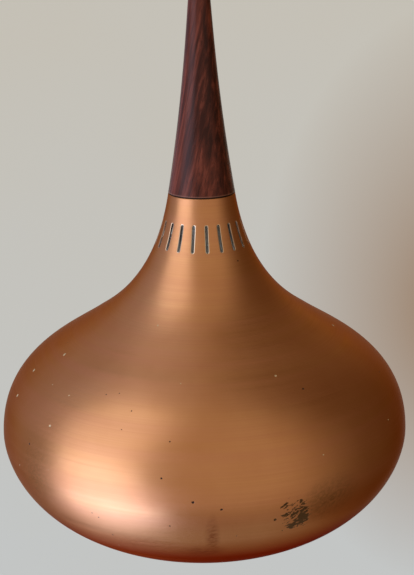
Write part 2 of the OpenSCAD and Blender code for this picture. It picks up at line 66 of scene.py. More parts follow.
# camera, in metres, degrees and millimetres of lens
photo = dict(width=414, height=575)
view = dict(
    back=1.400,            # in front of the lamp's axis
    above=0.2981,          # over the joint
    pitch=15.78,           # looks down
    turn=0.17,             # and a touch towards +X
    roll=-0.69,
    lens=90.84,
    sensor=36.0,
)
# edges of the object in the photograph, then the middle of what shows of each feature
imagePoints = dict(
    left=3, right=404.5, bottom=564,
    neckFootLeft=(167.5, 195), neckFootRight=(235, 194.4),
    slotLeftTop=(166.4, 222.3), slotLeftFoot=(158.7, 246.3),
    slotMiddleTop=(205.9, 226.0), slotMiddleFoot=(207.3, 252.6),
    slotRightTop=(235.7, 222.5), slotRightFoot=(243.6, 246.6),
    wornPatch=(296, 514),
    paleChipA=(275.6, 375.8), paleChipB=(64.4, 354.5), paleChipC=(49.8, 425.8),
    darkChipA=(303.3, 388.8), darkChipB=(161.5, 478.5), darkChipC=(193, 502.5),
    darkChipD=(221.5, 509.6),
)


def makeCamera():
    pitch, turn, roll = (radians(view[k]) for k in ("pitch", "turn", "roll"))
    ahead = Vector((sin(turn) * cos(pitch), cos(turn) * cos(pitch), -sin(pitch)))
    side = Vector((cos(turn), -sin(turn), 0))
    over = side.cross(ahead)
    right = side * cos(roll) + over * sin(roll)
    up = over * cos(roll) - side * sin(roll)
    data = bpy.data.cameras.new("camera")
    data.lens = view["lens"]
    data.sensor_fit = "AUTO"
    data.sensor_width = view["sensor"]
    camera = bpy.data.objects.new("camera", data)
    bpy.context.scene.collection.objects.link(camera)
    camera.matrix_world = Matrix((right, up, -ahead)).transposed().to_4x4()
    camera.location = (0, -view["back"], jointZ + view["above"])
    bpy.context.scene.camera = camera
    bpy.context.view_layer.update()
    return camera


camera = makeCamera()
longSide = max(photo["width"], photo["height"])
focus = longSide * camera.data.lens / camera.data.sensor_width


def towards(x, y):
    data = camera.data
    inCamera = Vector((x - photo["width"] / 2 + data.shift_x * longSide,
                       photo["height"] / 2 - y + data.shift_y * longSide, -focus))
    return (camera.matrix_world.to_3x3() @ inCamera).normalized()


# the place on a surface that shows at an image point, or the nearest one to that line of sight
def placeOn(tree, x, y):
    eye, ray = camera.matrix_world.translation, towards(x, y)
    hit = tree.ray_cast(eye, ray)[0]
    if hit:
        return hit
    steps = (view["back"] * (0.7 + 0.01 * i) for i in range(60))       # from before the shade to behind it
    near = [tree.find_nearest(eye + ray * far) for far in steps]
    return min(near, key=lambda found: found[3])[0]


# the place on the shade that shows that far across and up from another one
def beside(place, across, up):
    moved = place + camera.matrix_world.to_3x3() @ Vector((across * mm, up * mm, 0))
    eye = camera.matrix_world.translation
    return shadeTree.ray_cast(eye, (moved - eye).normalized())[0] or moved


def inImage(place):
    p = camera.matrix_world.inverted() @ place
    return Vector((photo["width"] / 2 - camera.data.shift_x * longSide - p.x / p.z * focus,
                   photo["height"] / 2 + camera.data.shift_y * longSide + p.y / p.z * focus))


print("camera", tuple(round(v, 4) for v in camera.location))


# a shader node, with its inputs given as values or sockets
def put(tree, kind, inputs=None, **settings):
    node = tree.nodes.new("ShaderNode" + kind)
    for key, value in settings.items():
        setattr(node, key, value)
    for key, value in (inputs or {}).items():
        if isinstance(value, bpy.types.NodeSocket):
            tree.links.new(value, node.inputs[key])
        else:
            node.inputs[key].default_value = value
    return node


def maths(tree, operation, a, b=0.0, clamp=False):
    return put(tree, "Math", {0: a, 1: b}, operation=operation, use_clamp=clamp).outputs[0]


def vectorMaths(tree, operation, a, b=(0, 0, 0)):
    return put(tree, "VectorMath", {0: a, 1: b}, operation=operation).outputs


def parts(tree, vector):
    return put(tree, "SeparateXYZ", {0: vector}).outputs


def rgba(colour):
    return (*colour, 1) if len(colour) == 3 else colour


def mixColour(tree, share, a, b):
    ends = {k: c if isinstance(c, bpy.types.NodeSocket) else rgba(c) for k, c in ((6, a), (7, b))}
    return put(tree, "Mix", {0: share, **ends}, data_type="RGBA").outputs[2]


# the value between low and high becomes 0 to 1, or the range given
def spread(tree, value, low, high, to=(0.0, 1.0)):
    return put(tree, "MapRange", {0: value, 1: low, 2: high, 3: to[0], 4: to[1]}).outputs[0]


def noise(tree, place, scale, detail=3.0, rough=0.5, warp=0.0):
    return put(tree, "TexNoise", {"Vector": place, "Scale": scale, "Detail": detail, "Roughness": rough,
                                  "Distortion": warp}).outputs[0]


def stretched(tree, place, scale, turn=(0, 0, 0)):
    if any(turn):
        rotated = put(tree, "VectorRotate", {"Vector": place, "Rotation": turn}, rotation_type="EULER_XYZ")
        place = rotated.outputs[0]
    return put(tree, "Mapping", {"Vector": place, "Scale": scale}).outputs[0]


def bumped(tree, value, depth, strength=1.0, after=None):
    inputs = {"Height": value, "Distance": depth, "Strength": strength}
    if after:
        inputs["Normal"] = after
    return put(tree, "Bump", inputs).outputs[0]


def startMaterial(name):
    material = bpy.data.materials.new(name)
    material.use_nodes = True
    tree = material.node_tree
    return material, tree, tree.nodes["Principled BSDF"], put(tree, "TexCoord").outputs["Object"]


def setShader(shader, tree, **values):
    for key, value in values.items():
        name = key.replace("_", " ")
        if isinstance(value, bpy.types.NodeSocket):
            tree.links.new(value, shader.inputs[name])
        else:
            shader.inputs[name].default_value = rgba(value) if isinstance(value, tuple) else value


# an outline of (radius, drop) points in millimetres, turned about the lamp's axis
def turned(outline, steps, closed=False):
    bm = bmesh.new()
    verts = [bm.verts.new((r * mm, 0, height(drop))) for r, drop in outline]
    pairs = list(zip(verts, verts[1:])) + ([(verts[-1], verts[0])] if closed else [])
    edges = [bm.edges.new(pair) for pair in pairs]
    bmesh.ops.spin(bm, geom=verts + edges, cent=(0, 0, 0), axis=(0, 0, 1), dvec=(0, 0, 0),
                   angle=2 * pi, steps=steps, use_merge=True, use_duplicate=False)
    bmesh.ops.remove_doubles(bm, verts=bm.verts, dist=1e-6)
    onAxis = [e for e in bm.edges if e.is_wire]
    bmesh.ops.delete(bm, geom=onAxis, context="EDGES")
    bmesh.ops.recalc_face_normals(bm, faces=bm.faces)
    return bm


def roundEdges(bm, size, over):
    sharp = [e for e in bm.edges if len(e.link_faces) == 2 and e.calc_face_angle(0) > radians(over)]
    bmesh.ops.bevel(bm, geom=sharp, offset=size * mm, offset_type="OFFSET", segments=3, profile=0.5,
                    affect="EDGES", material=-1, clamp_overlap=True)


def finishPiece(name, bm, materials, body, slotName, *nodes, sharpOver=35):
    mesh = bpy.data.meshes.new(name)
    bm.edges.index_update()
    openEdges = [e.index for e in bm.edges if e.is_boundary]
    bm.to_mesh(mesh)
    bm.free()
    for material in materials:
        mesh.materials.append(material)
    mesh.shade_smooth()
    mesh.set_sharp_from_angle(angle=radians(sharpOver))
    for i in openEdges:
        mesh.edges[i].use_edge_sharp = True
    piece = bpy.data.objects.new(name, mesh)
    bpy.context.scene.collection.objects.link(piece)
    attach(piece, body)
    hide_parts(*nodes)
    return piece


# a smooth stretch from a to b in (radius, drop); leans are outwards from straight down
def sweep(a, leanA, b, leanB, pull, steps):
    a, b = Vector(a), Vector(b)
    chord = (b - a).length
    leave = Vector((sin(radians(leanA)), cos(radians(leanA))))
    arrive = Vector((sin(radians(leanB)), cos(radians(leanB))))
    knots = (a, a + leave * pull[0] * chord, b - arrive * pull[1] * chord, b)
    return [Vector(p[:2]) for p in interpolate_bezier(*(k.to_3d() for k in knots), steps + 1)]


# copper shade, in millimetres and degrees: radius and drop of each place, and how the side leans there
shade = dict(
    neckR=33.0, neckLean=9.0, corner=1.0, cornerSteps=5, flangeR=14.1,
    waist=(114.0, 126.0), waistLean=56.0, bulge=(205.0, 241.0), rim=(134.0, 334.0), rimLean=-63.0,
    flarePull=(0.6, 0.15), shoulderPull=(0.29, 0.48), bellyPull=(0.09, 0.62),
    flareSteps=160, shoulderSteps=120, bellySteps=120,
    hem=1.6, hemTurn=280, hemSteps=14, sheet=1.0, rowGap=4.6, rowsAbove=4,
)
slots = dict(count=20, firstTurn=6.0, width=2.8, top=25.0, span=25.5, columns=16, blend=8.0)
slotEdge = (0, 0.5, 0.87, 1)         # columns from a slot's middle to its side, in half widths
slotSide = len(slotEdge) - 1
slotSlide = {4: 0.45, 5: 0.15}       # how far the next columns follow the bend of its ends
offSide = -1.0                       # the way down of what isn't on the shade's side
close = 0.01                         # two ways down that differ by less are the same


def sideOutline():
    lean, f = radians(shade["neckLean"]), shade["corner"]
    centre = Vector((shade["neckR"] - f * (1 - sin(lean)) / cos(lean), f))
    turns = ((pi / 2 - lean) * i / shade["cornerSteps"] for i in range(shade["cornerSteps"] + 1))
    corner = [centre + f * Vector((sin(a), -cos(a))) for a in turns]
    flare = sweep((shade["neckR"], 0), shade["neckLean"], shade["waist"], shade["waistLean"],
                  shade["flarePull"], shade["flareSteps"])
    shoulder = sweep(shade["waist"], shade["waistLean"], shade["bulge"], 0,
                     shade["shoulderPull"], shade["shoulderSteps"])
    belly = sweep(shade["bulge"], 0, shade["rim"], shade["rimLean"],
                  shade["bellyPull"], shade["bellySteps"])
    side = [p for p in flare if p.y > corner[-1].y + 0.2 * f] + shoulder[1:] + belly[1:]
    out = Vector((cos(radians(shade["rimLean"])), -sin(radians(shade["rimLean"]))))
    around = radians(-shade["rimLean"])
    middle = side[-1] - shade["hem"] * out
    turns = (radians(shade["hemTurn"]) * i / shade["hemSteps"] for i in range(1, shade["hemSteps"] + 1))
    hem = [middle + shade["hem"] * Vector((cos(around + a), sin(around + a))) for a in turns]
    flange = [Vector((shade["flangeR"], 0)), Vector((shade["flangeR"] * 0.5 + centre.x * 0.5, 0))]
    return flange + corner, side, hem


# the shade's side as a line: at gives the place some way down it, and where the way down to a drop
class Side:
    def __init__(self, points):
        self.points, self.along = points, [0.0]
        for a, b in zip(points, points[1:]):
            self.along.append(self.along[-1] + (b - a).length)

    def at(self, along):
        i = max(1, next((i for i, s in enumerate(self.along) if s >= along), len(self.along) - 1))
        share = (along - self.along[i - 1]) / (self.along[i] - self.along[i - 1])
        return self.points[i - 1].lerp(self.points[i], share)

    def where(self, drop):
        i = next(i for i, p in enumerate(self.points) if p.y >= drop)
        share = (drop - self.points[i - 1].y) / (self.points[i].y - self.points[i - 1].y)
        return self.along[i - 1] + share * (self.along[i] - self.along[i - 1])


# the rows of the shade's mesh, each by its way down the side, with places for the slots' ends
def shadeRows(line, slotTop, slotFoot):
    wide, blend = slots["width"], slots["blend"]
    between = [slotTop + wide + (slotFoot - slotTop - 2 * wide) * i / 3 for i in (1, 2)]
    rows = [slotTop - blend, slotTop, slotTop + wide, *between, slotFoot - wide, slotFoot, slotFoot + blend]
    above = [rows[0] * i / shade["rowsAbove"] for i in range(shade["rowsAbove"])]
    left = line.along[-1] - rows[-1]
    count = round(left / shade["rowGap"])
    return above + rows + [rows[-1] + left * i / count for i in range(1, count + 1)]


# the columns beside a slot close up to its parallel sides, and its end rows bend round
def fitSlots(bm, line, slotTop, slotFoot, lengthwise, column):
    half, blend, columns = slots["width"] / 2, slots["blend"], slots["columns"]
    step = 2 * pi / (slots["count"] * columns)
    reach = columns // 2
    for vert in bm.verts:
        turn = atan2(vert.co.y, vert.co.x)
        fromFirst = round((turn - radians(slots["firstTurn"])) / step)
        vert[column] = (fromFirst + reach - 1) % columns - reach + 1
        k, s = abs(vert[column]), vert[lengthwise]
        if s < 0 or s > slotFoot + blend + close:
            continue
        share = min(1, max(0, 1 - (slotTop - s) / blend), max(0, 1 - (s - slotFoot) / blend))
        radius = line.at(s).x
        if k <= slotSide:
            wanted = asin(slotEdge[k] * half / radius)
        else:
            edge = asin(half / radius)
            wanted = edge + (k - slotSide) / (reach - slotSide) * (reach * step - edge)
        turn += share * (wanted - k * step) * (1 if vert[column] >= 0 else -1)
        bend = half * (1 - sqrt(1 - slotEdge[min(k, slotSide)] ** 2)) * slotSlide.get(k, k <= slotSide)
        slide = bend * ((abs(s - slotTop) < close) - (abs(s - slotFoot) < close))
        p = line.at(s + slide)
        vert.co = (p.x * mm * cos(turn), p.x * mm * sin(turn), height(p.y))


def cutSlots(bm, slotTop, slotFoot, lengthwise, column):
    holes = [f for f in bm.faces if max(abs(v[column]) for v in f.verts) <= slotSide
             and slotTop < sum(v[lengthwise] for v in f.verts) / 4 < slotFoot]
    bmesh.ops.delete(bm, geom=holes, context="FACES")


# lathe lines follow this map: once round in u, and the drop and the radius together in v
def mapLathe(bm):
    lathe = bm.loops.layers.uv.new("lathe")
    summit = max(v.co.z for v in bm.verts)
    for face in bm.faces:
        middle = face.calc_center_median()
        centre = atan2(middle.y, middle.x)
        for loop in face.loops:
            co = loop.vert.co
            aside = atan2(co.y, co.x) - centre
            turn = centre + atan2(sin(aside), cos(aside))
            loop[lathe].uv = (turn / (2 * pi), summit - co.z + hypot(co.x, co.y))


def makeShade():
    top, side, hem = sideOutline()
    line = Side(side)
    slotTop, slotFoot = line.where(slots["top"]), line.where(slots["top"] + slots["span"])
    rows = shadeRows(line, slotTop, slotFoot)

    bm = bmesh.new()
    lengthwise = bm.verts.layers.float.new("along")
    column = bm.verts.layers.int.new("column")
    outline = [(p, offSide) for p in top] + [(line.at(s), s) for s in rows] + [(p, offSide) for p in hem]
    verts = []
    for p, s in outline:
        vert = bm.verts.new((p.x * mm, 0, height(p.y)))
        vert[lengthwise] = s
        verts.append(vert)
    edges = [bm.edges.new(pair) for pair in zip(verts, verts[1:])]
    bmesh.ops.spin(bm, geom=verts + edges, cent=(0, 0, 0), axis=(0, 0, 1), dvec=(0, 0, 0), angle=2 * pi,
                   steps=slots["count"] * slots["columns"], use_merge=True, use_duplicate=False)
    bmesh.ops.rotate(bm, verts=bm.verts, matrix=Matrix.Rotation(radians(slots["firstTurn"]), 3, "Z"))
    fitSlots(bm, line, slotTop, slotFoot, lengthwise, column)
    cutSlots(bm, slotTop, slotFoot, lengthwise, column)
    bmesh.ops.recalc_face_normals(bm, faces=bm.faces)
    widest = max(bm.faces, key=lambda f: hypot(*f.calc_center_median().xy))
    if widest.normal.xy.dot(widest.calc_center_median().xy) < 0:
        bmesh.ops.reverse_faces(bm, faces=bm.faces)
    mapLathe(bm)

    piece = finishPiece("copper_shade", bm, [], "root", "copper",
                        "shade_flare", "shade_shoulder", "shade_belly", sharpOver=50)
    wall = piece.modifiers.new("sheet", "SOLIDIFY")
    wall.thickness = shade["sheet"] * mm
    wall.offset = -1
    wall.use_even_offset = True
    wall.material_offset = 1
    wall.material_offset_rim = 2
    ends = []
    for i in range(slots["count"]):
        turn = radians(slots["firstTurn"] + 360 / slots["count"] * i)
        for p in (line.at(slotTop), line.at(slotFoot)):
            ends.append(Vector((p.x * mm * cos(turn), p.x * mm * sin(turn), height(p.y))))
    return piece, ends


copperShade, slotEnds = makeShade()
shadeTree = BVHTree.FromObject(copperShade, bpy.context.evaluated_depsgraph_get())
print("shade", len(copperShade.data.polygons), "faces")


# copper: lathe-brushed and lacquered, aged, with a worn patch and chips, and darker and redder towards the
# rim: partly patina, partly painted shade for the dark reflection from below
copper = dict(
    fresh=(0.82, 0.390, 0.175), aged=(0.70, 0.300, 0.120), pink=(0.74, 0.300, 0.165), cut=(0.92, 0.70, 0.55),
    red=(0.43, 0.080, 0.016), redFrom=283, redOver=30,         # millimetres down from the joint
    edge=(0.50, 0.22, 0.12), redEdge=(0.45, 0.095, 0.022),     # its gleam at a glancing angle
    rough=(0.34, 0.42), anisotropy=0.5, coat=0.12, coatRough=0.3,
    drift=7.0, mottle=55.0, bands=(2, 2, 60), lines=(14, 14, 2200), brushed=(5, 5, 650),
    crumbs=430.0, crumbShape=(0.45, 0.8, 1), crumbLean=20, ragged=900.0, nicks=1800.0,
    lip=(0.90, 0.66, 0.45), lipWide=0.7,                       # a lighter rim round each slot: worn bare copper, and a painted highlight on its edge
    patchColour=(0.135, 0.066, 0.020), pits=(0.045, 0.024, 0.008),
    smear=(0.30, 0.150, 0.050), rust=(0.30, 0.060, 0.018),
    paleChip=(0.80, 0.62, 0.36), darkChip=(0.02, 0.012, 0.01),
)
# the worn patch in parts: each one's place from the middle and its reach, across and up as the camera
# sees them, in millimetres, and how solid it is
patchParts = (
    (0, -1.0, 17.0, 15.0, 0.62), (5.5, -3.0, 11.0, 10.5, 1.25), (-4.5, -10.5, 10.0, 5.0, 1.1),
    (5.0, 8.5, 7.5, 5.5, 0.95), (-9.5, 7.0, 7.0, 3.0, 0.75), (-9.5, -1.5, 7.5, 2.6, 0.8),
    (-19.0, -5.0, 1.8, 1.2, 0.8), (-12.5, -15.0, 1.6, 1.2, 0.8),
)
# soft stains, given the same way, with what each is made of
stains = dict(
    smear=((34.0, 16.0, 36.0, 17.0, 0.50), (20.0, 9.0, 20.0, 16.0, 0.35), (-238.0, 34.0, 24.0, 34.0, 0.35)),
    rust=((-76.0, -22.0, 8.0, 20.0, 0.55), (-85.0, -34.0, 26.0, 7.0, 0.45), (-145.0, -26.0, 50.0, 8.0, 0.30)),
)
# size of each mark across and up, in millimetres, and how far it leans
chips = dict(
    paleChipA=(1.9, 1.2, 0), paleChipB=(2.6, 1.1, 40), paleChipC=(1.9, 1.7, 0),
    darkChipA=(1.7, 1.4, 0), darkChipB=(1.6, 1.3, 0), darkChipC=(2.2, 1.7, 0), darkChipD=(1.9, 1.6, 0),
)
# smaller ones, each by its place across and up from the worn patch, then the same numbers
smallChips = dict(
    paleChip=((-239, 131, 2.6, 1.0, 45), (-254, 108, 2.6, 1.0, 50), (-222, 118, 1.0, 1.0, 0),
              (-207, 108, 1.1, 0.9, 30), (-126, 172, 1.0, 1.6, 0), (34, 172, 2.2, 1.0, -30),
              (84, 86, 1.4, 1.2, 0), (-105, 119, 0.9, 0.9, 0), (25, 54, 1.3, 0.8, 0)),
    darkChip=((-53, 231, 1.2, 1.2, 0), (-243, 64, 1.6, 1.5, 0), (-115, 66, 1.0, 1.0, 0),
              (-150, 94, 0.9, 0.9, 0), (-159, 77, 0.8, 0.8, 0), (-161, 110, 0.9, 0.9, 0),
              (-173, 109, 0.9, 0.9, 0), (-115, -11, 1.1, 1.1, 0), (-167, -19, 1.4, 1.0, -30),
              (-180, -3, 0.9, 0.9, 0), (-186, 1, 0.8, 0.8, 0)),
)
# pinholes over the whole shade: how many of the cells hold one, and its reach in cells
pinholes = dict(scale=62.0, solid=0.8, darkChip=(0.16, 0.055), paleChip=(0.06, 0.05))
patchMiddle = placeOn(shadeTree, *imagePoints["wornPatch"])


# 1 at a place on the surface, falling to 0 at the given reach from it
def nearPlace(tree, place, centre, reach, ragged=None, lean=0):
    away = vectorMaths(tree, "SUBTRACT", place, centre)[0]
    if lean:
        rotated = put(tree, "VectorRotate", {"Vector": away, "Angle": radians(lean)}, rotation_type="Y_AXIS")
        away = rotated.outputs[0]
    scaled = vectorMaths(tree, "MULTIPLY", away, tuple(1 / r for r in reach))[0]
    far = vectorMaths(tree, "LENGTH", scaled)["Value"]
    if ragged:
        far = maths(tree, "ADD", far, ragged)
    return maths(tree, "SUBTRACT", 1.0, far, clamp=True)


# how far a place on the shade's outside lies from the nearest slot, in metres
def fromSlot(tree, across):
    turn = maths(tree, "ARCTAN2", across[1], across[0])
    share = maths(tree, "ADD", maths(tree, "MULTIPLY", turn, slots["count"] / (2 * pi)),
                  0.5 + slots["count"] * (1 - slots["firstTurn"] / 360))
    share = maths(tree, "SUBTRACT", maths(tree, "FRACT", share), 0.5)
    level = put(tree, "CombineXYZ", {0: across[0], 1: across[1]}).outputs[0]
    radius = vectorMaths(tree, "LENGTH", level)["Value"]
    aside = maths(tree, "MULTIPLY", maths(tree, "MULTIPLY", share, 2 * pi / slots["count"]), radius)
    half = slots["width"] / 2
    over = maths(tree, "SUBTRACT", across[2], height(slots["top"] + half))
    under = maths(tree, "SUBTRACT", height(slots["top"] + slots["span"] - half), across[2])
    past = maths(tree, "MAXIMUM", 0.0, maths(tree, "MAXIMUM", over, under))
    far = vectorMaths(tree, "LENGTH", put(tree, "CombineXYZ", {0: aside, 1: past}).outputs[0])["Value"]
    return maths(tree, "SUBTRACT", far, half * mm)


# soft stains, then the worn patch: lacquer gone in a cluster of dark crumbs
def addPatch(tree, place, colour):
    shaped = stretched(tree, place, copper["crumbShape"], (0, radians(copper["crumbLean"]), 0))
    crumbs = noise(tree, shaped, copper["crumbs"], 3.0, 0.6)

    def spot(aside, above, wide, tall, solid):
        reach = (wide * mm, max(wide, 1.9 * tall) * mm, 1.6 * tall * mm)
        centre = beside(patchMiddle, aside, above)
        return maths(tree, "MULTIPLY", nearPlace(tree, place, centre, reach), solid)

    for name, rows in stains.items():
        for row in rows:
            broken = spread(tree, crumbs, 0.35, 0.65, (0.5, 1.5))
            share = maths(tree, "MULTIPLY", spot(*row), broken, clamp=True)
            colour = mixColour(tree, share, colour, copper[name])
    inPatch = spot(*patchParts[0])
    for row in patchParts[1:]:
        inPatch = maths(tree, "MAXIMUM", inPatch, spot(*row))
    broken = spread(tree, crumbs, 0.3, 0.7, (-0.62, 0.42))
    worn = spread(tree, maths(tree, "ADD", inPatch, broken), 0.30, 0.46)
    worn = maths(tree, "MULTIPLY", worn, spread(tree, inPatch, 0.0, 0.06))
    bare = mixColour(tree, crumbs, copper["patchColour"], copper["pits"])
    return mixColour(tree, worn, colour, bare), worn


def addPinholes(tree, place, colour, dull):
    for name in ("darkChip", "paleChip"):
        share, reach = pinholes[name]
        moved = vectorMaths(tree, "ADD", place, (reach, 0, share))[0]
        cells = put(tree, "TexVoronoi", {"Vector": moved, "Scale": pinholes["scale"]}).outputs
        lot = put(tree, "SeparateColor", {0: cells["Color"]}).outputs[0]
        hole = maths(tree, "MULTIPLY", maths(tree, "LESS_THAN", lot, share),
                     spread(tree, cells["Distance"], reach, reach * 0.6))
        colour = mixColour(tree, maths(tree, "MULTIPLY", hole, pinholes["solid"]), colour, copper[name])
        dull = maths(tree, "MAXIMUM", dull, hole)
    return colour, dull


def addChips(tree, place, colour, dull):
    marks = [(name[:-1], placeOn(shadeTree, *imagePoints[name]), size) for name, size in chips.items()]
    marks += [(name, beside(patchMiddle, *row[:2]), row[2:])
              for name, rows in smallChips.items() for row in rows]
    ragged = spread(tree, noise(tree, place, copper["ragged"], 2.0), 0.3, 0.7, (-0.2, 0.2))
    for name, centre, (wide, tall, lean) in marks:
        chip = nearPlace(tree, place, centre, (wide * mm, max(wide, tall) * mm, tall * mm), ragged, lean)
        chip = spread(tree, chip, 0.25, 0.45)
        colour = mixColour(tree, chip, colour, copper[name])
        dull = maths(tree, "MAXIMUM", dull, chip)
    return colour, dull


def copperFinish():
    material, tree, shader, place = startMaterial("brushed copper")
    down = parts(tree, put(tree, "UVMap", uv_map="lathe").outputs[0])[1]
    across = parts(tree, place)
    rings = put(tree, "CombineXYZ", {0: across[0], 1: across[1], 2: down}).outputs[0]

    # colour drifts over hand-wide areas, and in faint rings from the lathe
    drift = noise(tree, place, copper["drift"], 4.0, 0.55)
    bands = noise(tree, stretched(tree, rings, copper["bands"]), 1.0, 3.0)
    lines = noise(tree, stretched(tree, rings, copper["lines"]), 1.0, 2.0)
    brushed = noise(tree, stretched(tree, rings, copper["brushed"]), 1.0, 3.0)
    mottle = noise(tree, place, copper["mottle"], 5.0, 0.6)
    colour = mixColour(tree, spread(tree, drift, 0.35, 0.68), copper["fresh"], copper["aged"])
    colour = mixColour(tree, spread(tree, brushed, 0.35, 0.7, (0, 0.35)), colour, copper["aged"])
    colour = mixColour(tree, spread(tree, bands, 0.4, 0.75, (0, 0.45)), colour, copper["pink"])
    colour = mixColour(tree, spread(tree, mottle, 0.5, 0.8, (0, 0.22)), colour, copper["aged"])
    # darker and redder towards the rim: partly aged patina, partly painted shade standing in for the dark
    # reflection from below
    low = spread(tree, maths(tree, "SUBTRACT", jointZ, across[2]),
                 copper["redFrom"] * mm, (copper["redFrom"] + copper["redOver"]) * mm)
    colour = mixColour(tree, low, colour, copper["red"])
    gap, lipWide = fromSlot(tree, across), copper["lipWide"] * mm
    # a lighter rim round each slot: worn bare copper, with a painted highlight of the edge
    colour = mixColour(tree, spread(tree, gap, lipWide, 0.7 * lipWide), colour, copper["lip"])
    colour, worn = addPatch(tree, place, colour)
    colour, dull = addPinholes(tree, place, colour, worn)
    colour, dull = addChips(tree, place, colour, dull)

    rough = spread(tree, bands, 0.3, 0.7, copper["rough"])
    rough = maths(tree, "ADD", rough, spread(tree, lines, 0.3, 0.7, (-0.03, 0.03)))
    rough = maths(tree, "ADD", rough, spread(tree, brushed, 0.3, 0.7, (-0.04, 0.04)))
    rough = maths(tree, "ADD", rough, maths(tree, "MULTIPLY", worn, 0.25))
    relief = bumped(tree, lines, 0.00002, 0.35)
    relief = bumped(tree, brushed, 0.00003, 0.5, relief)
    relief = bumped(tree, spread(tree, gap, 0.0, lipWide), 0.0004, 0.65, relief)
    relief = bumped(tree, mottle, 0.0002, 0.12, relief)
    relief = bumped(tree, maths(tree, "SUBTRACT", 1.0, dull), 0.0002, 0.6, relief)
    setShader(shader, tree, Base_Color=colour, Roughness=rough, Normal=relief,
              Metallic=spread(tree, dull, 0.0, 1.0, (1.0, 0.35)),
              Anisotropic=copper["anisotropy"], Anisotropic_Rotation=0.25, Coat_Roughness=copper["coatRough"],
              Coat_Weight=spread(tree, low, 0.0, 1.0, (copper["coat"], 0.0)),
              Specular_Tint=mixColour(tree, low, copper["edge"], copper["redEdge"]),
              Tangent=put(tree, "Tangent", direction_type="UV_MAP", uv_map="lathe").outputs[0])
    return material


# pale inside, darker from one drop up to the other: painted shade up in the neck, with some heat browning
inside = dict(
    colour=(0.82, 0.81, 0.77), dust=(0.60, 0.57, 0.50), rough=(0.44, 0.58), spray=900.0, cloud=9.0,
    paintedShadeAndBrowning=(0.045, 0.042, 0.032), paintedShadeAndBrowningDrops=(102, 52),
)


def innerPaint():
    material, tree, shader, place = startMaterial("pale inner paint")
    spray = noise(tree, place, inside["spray"], 2.0)
    dust = noise(tree, place, inside["cloud"], 5.0, 0.6)
    colour = mixColour(tree, spread(tree, dust, 0.45, 0.75, (0, 0.6)), inside["colour"], inside["dust"])
    up = parts(tree, place)[2]
    uneven = spread(tree, dust, 0.3, 0.7, (-0.15, 0.15))
    # painted shade up in the neck, with some heat browning
    paintedShadeAndBrowning = maths(tree, "ADD", spread(tree, up, *map(height, inside["paintedShadeAndBrowningDrops"])), uneven, clamp=True)
    colour = mixColour(tree, paintedShadeAndBrowning, colour, inside["paintedShadeAndBrowning"])
    setShader(shader, tree, Base_Color=colour, Normal=bumped(tree, spray, 0.00005, 0.5),
              Roughness=spread(tree, spray, 0.3, 0.7, inside["rough"]))
    return material


def cutEdge():
    material, tree, shader, place = startMaterial("bare cut edge")
    nicks = noise(tree, place, copper["nicks"], 3.0)
    colour = mixColour(tree, spread(tree, nicks, 0.4, 0.7, (0, 0.6)), copper["cut"], copper["aged"])
    setShader(shader, tree, Base_Color=colour, Metallic=1.0, Normal=bumped(tree, nicks, 0.00005, 0.4),
              Roughness=spread(tree, nicks, 0.3, 0.7, copper["rough"]))
    return material


for material in (copperFinish(), innerPaint(), cutEdge()):
    copperShade.data.materials.append(material)
print("copper", round(copperShade.dimensions.x, 4))


# turned rosewood neck, in millimetres and degrees
neck = dict(
    footR=33.0, tipR=8.5, tall=214.0, lean=9.5, tipLean=5.3, pull=(0.49, 0.2), chamfer=0.8,
    spigotR=14.0, spigot=0.9, boreR=5.25, steps=128, sideSteps=72,
)
rosewood = dict(
    heart=(0.165, 0.036, 0.021), dark=(0.045, 0.010, 0.007), red=(0.24, 0.058, 0.033), rough=(0.24, 0.36),
    worn=(0.42, 0.20, 0.14), rubbedAndGlintUp=(2.6, 1.9),        # the rubbed edge of the foot, with a painted reflection of the copper below, and where it fades
    gap=(0.012, 0.004, 0.003), gapShadowUp=(1.5, 1.1),       # painted shadow in the gap under it
    figure=190.0, pores=900.0, wander=30.0, long=0.04,
    lean=12.0,             # the grain runs a little across the axis
)


def makeNeck():
    side = sweep((neck["footR"], 0), 180 + neck["lean"], (neck["tipR"], -neck["tall"]),
                 180 + neck["tipLean"], neck["pull"], neck["sideSteps"])
    outline = [(neck["boreR"], neck["spigot"]), (neck["spigotR"], neck["spigot"]), (neck["spigotR"], 0),
               (neck["footR"] - neck["chamfer"], 0), (neck["footR"], -neck["chamfer"])]
    outline += [tuple(p) for p in side if p.y < -neck["chamfer"] - 1]
    outline.append((neck["boreR"], -neck["tall"]))
    bm = turned(outline, neck["steps"], closed=True)
    return finishPiece("rosewood_neck", bm, [rosewoodFinish()], "root", "rosewood", "neck_cone", sharpOver=30)


